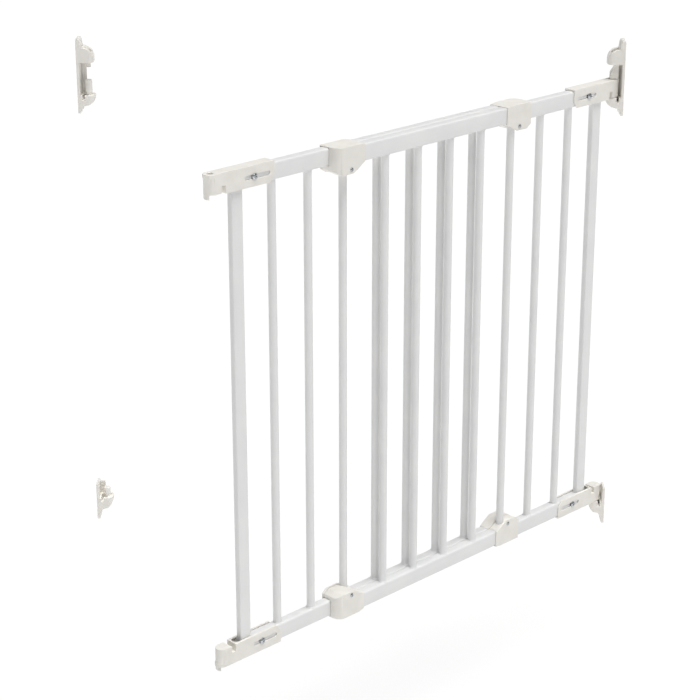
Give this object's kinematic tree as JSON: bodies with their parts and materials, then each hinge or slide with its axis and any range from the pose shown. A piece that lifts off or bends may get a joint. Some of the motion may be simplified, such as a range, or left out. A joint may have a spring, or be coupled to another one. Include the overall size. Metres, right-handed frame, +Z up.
{
  "type": "baby gate",
  "caption": "Extending white metal safety gate for a doorway, hinged between wall brackets and standing half open, with sliding frames and plastic end fittings.",
  "frame": {"origin": "middle of the lower hinge bracket's two screw holes, on the hinge wall's face", "axes": "+X out through the hinge wall, along the doorway from latch to hinge; +Y behind the gate, away from the side it opens to; +Z up"},
  "size_m": [0.864, 0.6157, 0.827],
  "materials": {
    "powder_coated_tube": "white powder coat, satin",
    "moulded_plastic": "injection moulded white polyamide, fine satin grain",
    "post_plastic": "moulded white polyamide, smooth",
    "zinc_fasteners": "bright zinc plated steel"
  },
  "bodies": {
    "hinge_wall": {"hinge_upper_bracket": "moulded_plastic", "hinge_lower_bracket": "moulded_plastic", "hinge_upper_post": "post_plastic", "hinge_lower_post": "post_plastic"},
    "hinge_fittings": {"hinge_top_fitting": "moulded_plastic", "hinge_bottom_fitting": "moulded_plastic"},
    "hinge_frame": {"hinge_frame_top_rail": "powder_coated_tube", "hinge_frame_bottom_rail": "powder_coated_tube", "hinge_frame_upright": "powder_coated_tube", "hinge_frame_bar_1": "powder_coated_tube", "hinge_frame_bar_2": "powder_coated_tube", "hinge_frame_bar_3": "powder_coated_tube", "hinge_frame_bar_4": "powder_coated_tube", "hinge_frame_bar_5": "powder_coated_tube", "hinge_frame_bar_6": "powder_coated_tube", "hinge_frame_bar_7": "powder_coated_tube", "hinge_frame_top_sleeve": "moulded_plastic", "hinge_frame_bottom_sleeve": "moulded_plastic", "hinge_frame_top_jaw_outer": "moulded_plastic", "hinge_frame_top_jaw_inner": "moulded_plastic", "hinge_frame_bottom_jaw_outer": "moulded_plastic", "hinge_frame_bottom_jaw_inner": "moulded_plastic", "hinge_frame_clip_screws": "zinc_fasteners", "hinge_frame_clip_inserts": "zinc_fasteners", "hinge_frame_adjust_screws": "zinc_fasteners", "hinge_frame_rivet_nuts": "zinc_fasteners"},
    "latch_frame": {"latch_frame_top_rail": "powder_coated_tube", "latch_frame_bottom_rail": "powder_coated_tube", "latch_frame_upright": "powder_coated_tube", "latch_frame_bar_1": "powder_coated_tube", "latch_frame_bar_2": "powder_coated_tube", "latch_frame_bar_3": "powder_coated_tube", "latch_frame_bar_4": "powder_coated_tube", "latch_frame_bar_5": "powder_coated_tube", "latch_frame_bar_6": "powder_coated_tube", "latch_frame_bar_7": "powder_coated_tube", "latch_frame_top_sleeve": "moulded_plastic", "latch_frame_bottom_sleeve": "moulded_plastic", "latch_frame_top_jaw_outer": "moulded_plastic", "latch_frame_top_jaw_inner": "moulded_plastic", "latch_frame_bottom_jaw_outer": "moulded_plastic", "latch_frame_bottom_jaw_inner": "moulded_plastic", "latch_frame_clip_screws": "zinc_fasteners", "latch_frame_clip_inserts": "zinc_fasteners", "latch_frame_adjust_screws": "zinc_fasteners", "latch_frame_rivet_nuts": "zinc_fasteners"},
    "latch_fittings": {"latch_top_fitting": "moulded_plastic", "latch_bottom_fitting": "moulded_plastic"},
    "latch_wall": {"latch_upper_bracket": "moulded_plastic", "latch_lower_bracket": "moulded_plastic", "latch_upper_post": "post_plastic", "latch_lower_post": "post_plastic"},
    "hinge_lock": {"hinge_lock_slide": "moulded_plastic"},
    "latch_lock": {"latch_lock_slide": "moulded_plastic"}
  },
  "joints": [
    {"name": "leaf_swing", "type": "hinge", "parent": "hinge_wall", "child": "hinge_fittings", "pos_m": [-0.017, 0, 0.37], "axis": [0, 0, 1], "range_deg": [-45, 45]},
    {"name": "frame_shift", "type": "slide", "parent": "hinge_fittings", "child": "hinge_frame", "axis": [-0.7071, -0.7071, 0], "range_m": [-0.01, 0.01]},
    {"name": "width_adjust", "type": "slide", "parent": "hinge_frame", "child": "latch_frame", "axis": [-0.7071, -0.7071, 0], "range_m": [0, 0.204]},
    {"name": "latch_fitting_shift", "type": "slide", "parent": "latch_frame", "child": "latch_fittings", "axis": [-0.7071, -0.7071, 0], "range_m": [-0.01, 0.01]},
    {"name": "doorway_width", "type": "slide", "parent": "hinge_wall", "child": "latch_wall", "axis": [-1, 0, 0], "range_m": [0, 0.204]},
    {"name": "hinge_lock_slide", "type": "slide", "parent": "hinge_wall", "child": "hinge_lock", "axis": [0, 0, 1], "range_m": [0, 0.018]},
    {"name": "latch_lock_slide", "type": "slide", "parent": "latch_wall", "child": "latch_lock", "axis": [0, 0, -1], "range_m": [0, 0.0194]}
  ],
  "couplings": [
    {"joint": "latch_fitting_shift", "follows": "frame_shift", "ratio": -1},
    {"joint": "doorway_width", "follows": "width_adjust", "ratio": 1}
  ]
}
